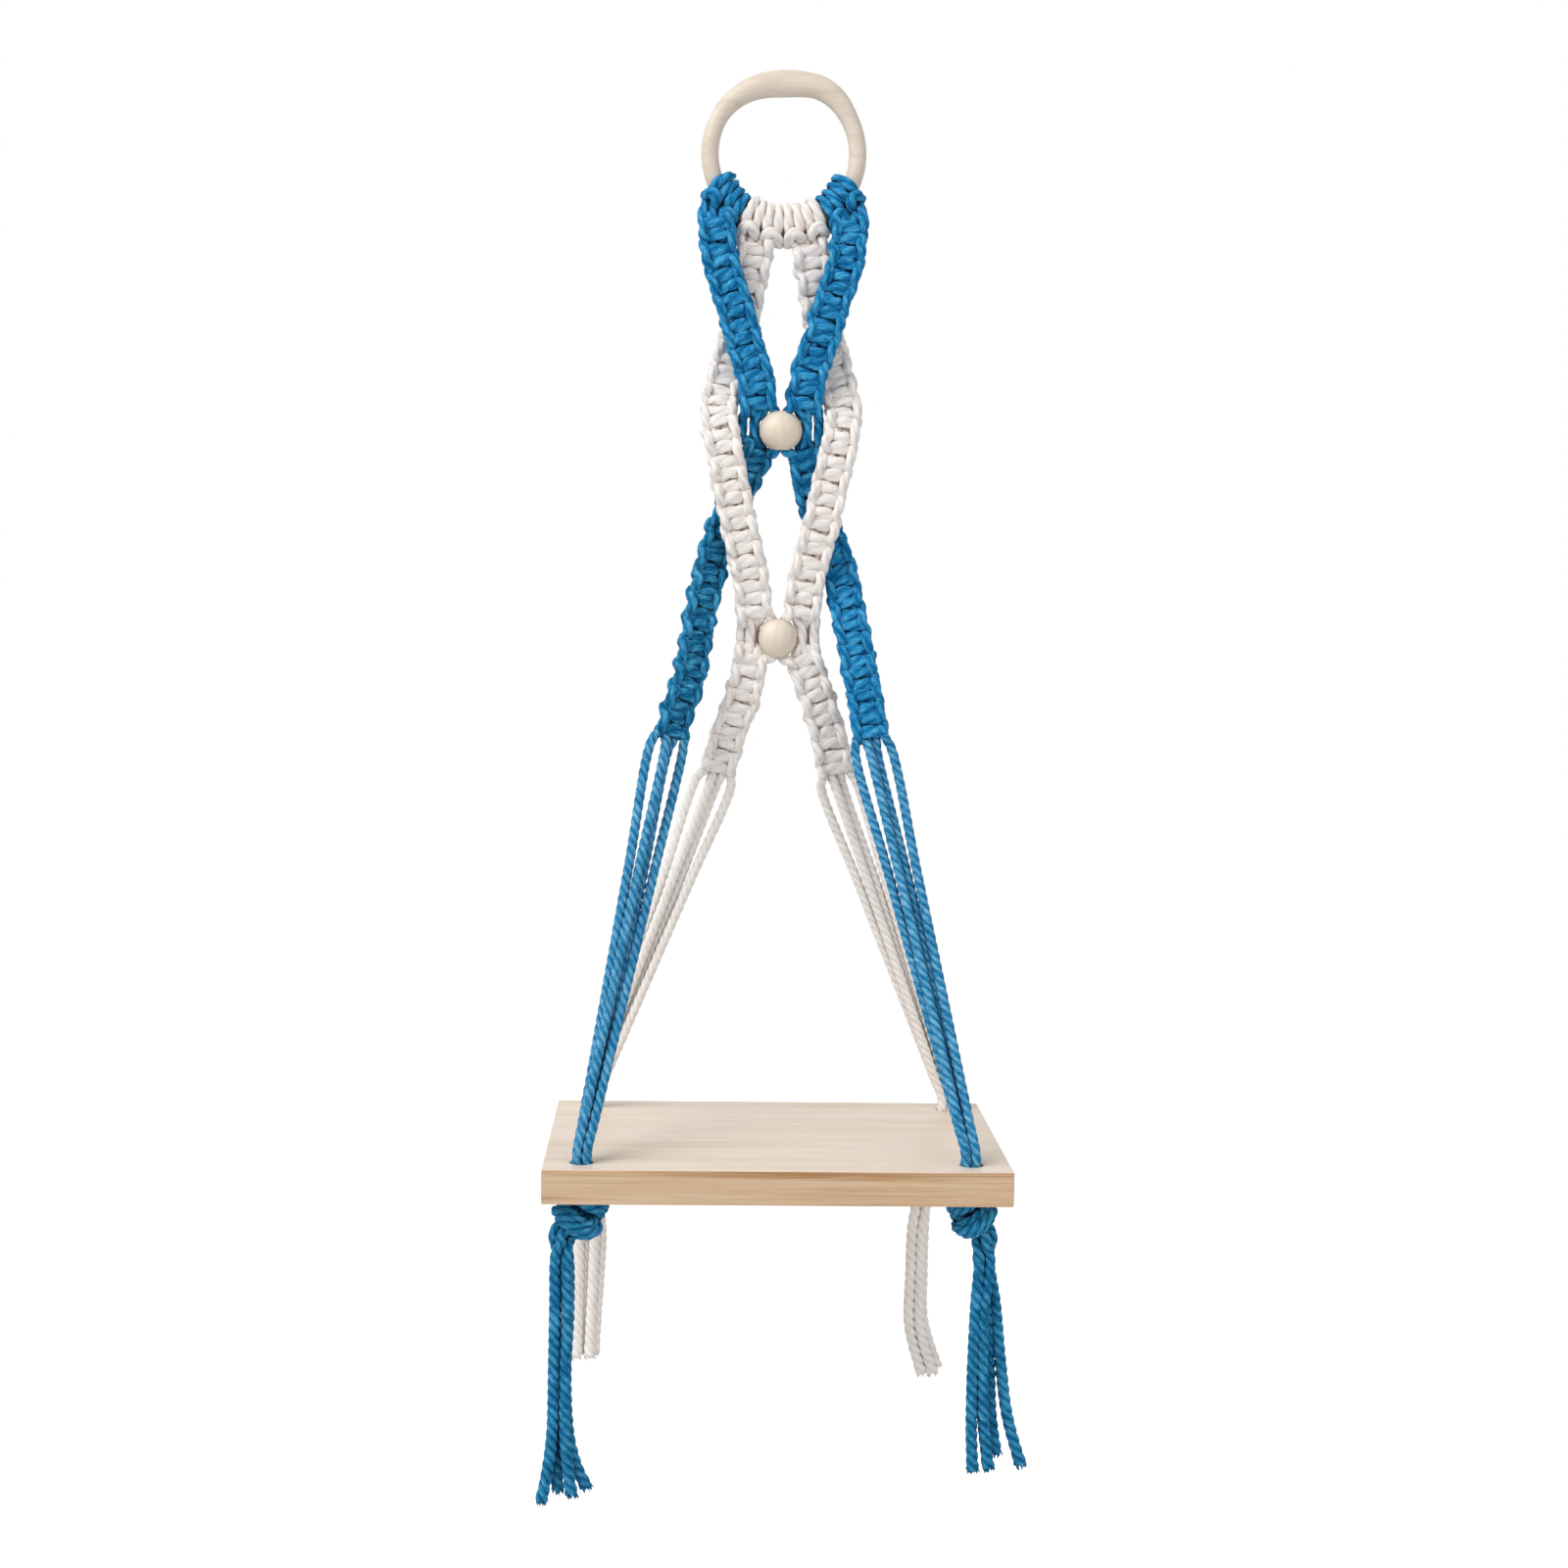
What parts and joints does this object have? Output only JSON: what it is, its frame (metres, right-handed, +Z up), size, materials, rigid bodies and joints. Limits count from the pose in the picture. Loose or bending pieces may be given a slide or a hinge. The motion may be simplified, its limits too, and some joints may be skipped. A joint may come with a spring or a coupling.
{
  "type": "hanging planter shelf",
  "caption": "Wall-hung macrame planter: a turned ring, knotted cord straps with wooden beads, and loose cords that carry a small wooden shelf board with tassels.",
  "frame": {"origin": "where the ring's inner top rests on its hook", "axes": "+X to the right as seen from the room, +Y towards the wall, +Z up"},
  "size_m": [0.2091, 0.14, 0.6261],
  "materials": {
    "pale_wood": "sanded, unvarnished",
    "pine": "planed, unvarnished",
    "blue_cotton": "matt twisted cord",
    "white_cotton": "matt twisted cord"
  },
  "bodies": {
    "ring_body": {"ring": "pale_wood"},
    "loops": {"blue_left_mount_1": "blue_cotton", "blue_left_mount_2": "blue_cotton", "blue_right_mount_1": "blue_cotton", "blue_right_mount_2": "blue_cotton", "white_left_mount_1": "white_cotton", "white_left_mount_2": "white_cotton", "white_right_mount_1": "white_cotton", "white_right_mount_2": "white_cotton"},
    "hanger": {"blue_left_upper_strap": "blue_cotton", "blue_left_lower_strap": "blue_cotton", "blue_right_upper_strap": "blue_cotton", "blue_right_lower_strap": "blue_cotton", "white_left_upper_strap": "white_cotton", "white_left_lower_strap": "white_cotton", "white_right_upper_strap": "white_cotton", "white_right_lower_strap": "white_cotton", "blue_left_leg_1": "blue_cotton", "blue_left_leg_2": "blue_cotton", "blue_left_leg_3": "blue_cotton", "blue_left_leg_4": "blue_cotton", "blue_right_leg_1": "blue_cotton", "blue_right_leg_2": "blue_cotton", "blue_right_leg_3": "blue_cotton", "blue_right_leg_4": "blue_cotton", "white_left_leg_1": "white_cotton", "white_left_leg_2": "white_cotton", "white_left_leg_3": "white_cotton", "white_left_leg_4": "white_cotton", "white_right_leg_1": "white_cotton", "white_right_leg_2": "white_cotton", "white_right_leg_3": "white_cotton", "white_right_leg_4": "white_cotton", "shelf_board": "pine", "blue_left_knot": "blue_cotton", "blue_right_knot": "blue_cotton", "white_left_knot": "white_cotton", "white_right_knot": "white_cotton"},
    "upper_bead_body": {"upper_bead": "pale_wood"},
    "lower_bead_body": {"lower_bead": "pale_wood"},
    "blue_left_tassel": {"blue_left_tassel_1": "blue_cotton", "blue_left_tassel_2": "blue_cotton", "blue_left_tassel_3": "blue_cotton", "blue_left_tassel_4": "blue_cotton"},
    "blue_right_tassel": {"blue_right_tassel_1": "blue_cotton", "blue_right_tassel_2": "blue_cotton", "blue_right_tassel_3": "blue_cotton", "blue_right_tassel_4": "blue_cotton"},
    "white_left_tassel": {"white_left_tassel_1": "white_cotton", "white_left_tassel_2": "white_cotton", "white_left_tassel_3": "white_cotton", "white_left_tassel_4": "white_cotton"},
    "white_right_tassel": {"white_right_tassel_1": "white_cotton", "white_right_tassel_2": "white_cotton", "white_right_tassel_3": "white_cotton", "white_right_tassel_4": "white_cotton"}
  },
  "joints": [
    {"name": "sway", "type": "hinge", "parent": "ring_body", "child": "loops", "pos_m": [0, 0, -0.0295], "axis": [0, -1, 0], "range_deg": [-20, 20]},
    {"name": "swing_out", "type": "hinge", "parent": "loops", "child": "hanger", "pos_m": [0, 0, -0.05], "axis": [-1, 0, 0], "range_deg": [0, 25]},
    {"name": "upper_bead_spin", "type": "hinge", "parent": "hanger", "child": "upper_bead_body", "pos_m": [0, -0.016, -0.1565], "axis": [0, 0, 1], "continuous": true},
    {"name": "lower_bead_spin", "type": "hinge", "parent": "hanger", "child": "lower_bead_body", "pos_m": [0, -0.019, -0.251], "axis": [0, 0, 1], "continuous": true},
    {"name": "blue_left_tassel_swing", "type": "hinge", "parent": "hanger", "child": "blue_left_tassel", "pos_m": [-0.09, -0.116, -0.5069], "axis": [0, -1, 0], "range_deg": [-25, 25]},
    {"name": "blue_right_tassel_swing", "type": "hinge", "parent": "hanger", "child": "blue_right_tassel", "pos_m": [0.089, -0.116, -0.5069], "axis": [0, -1, 0], "range_deg": [-25, 25]},
    {"name": "white_left_tassel_swing", "type": "hinge", "parent": "hanger", "child": "white_left_tassel", "pos_m": [-0.085, -0.004, -0.5069], "axis": [0, -1, 0], "range_deg": [-25, 25]},
    {"name": "white_right_tassel_swing", "type": "hinge", "parent": "hanger", "child": "white_right_tassel", "pos_m": [0.078, -0.004, -0.5069], "axis": [0, -1, 0], "range_deg": [-25, 25]}
  ]
}
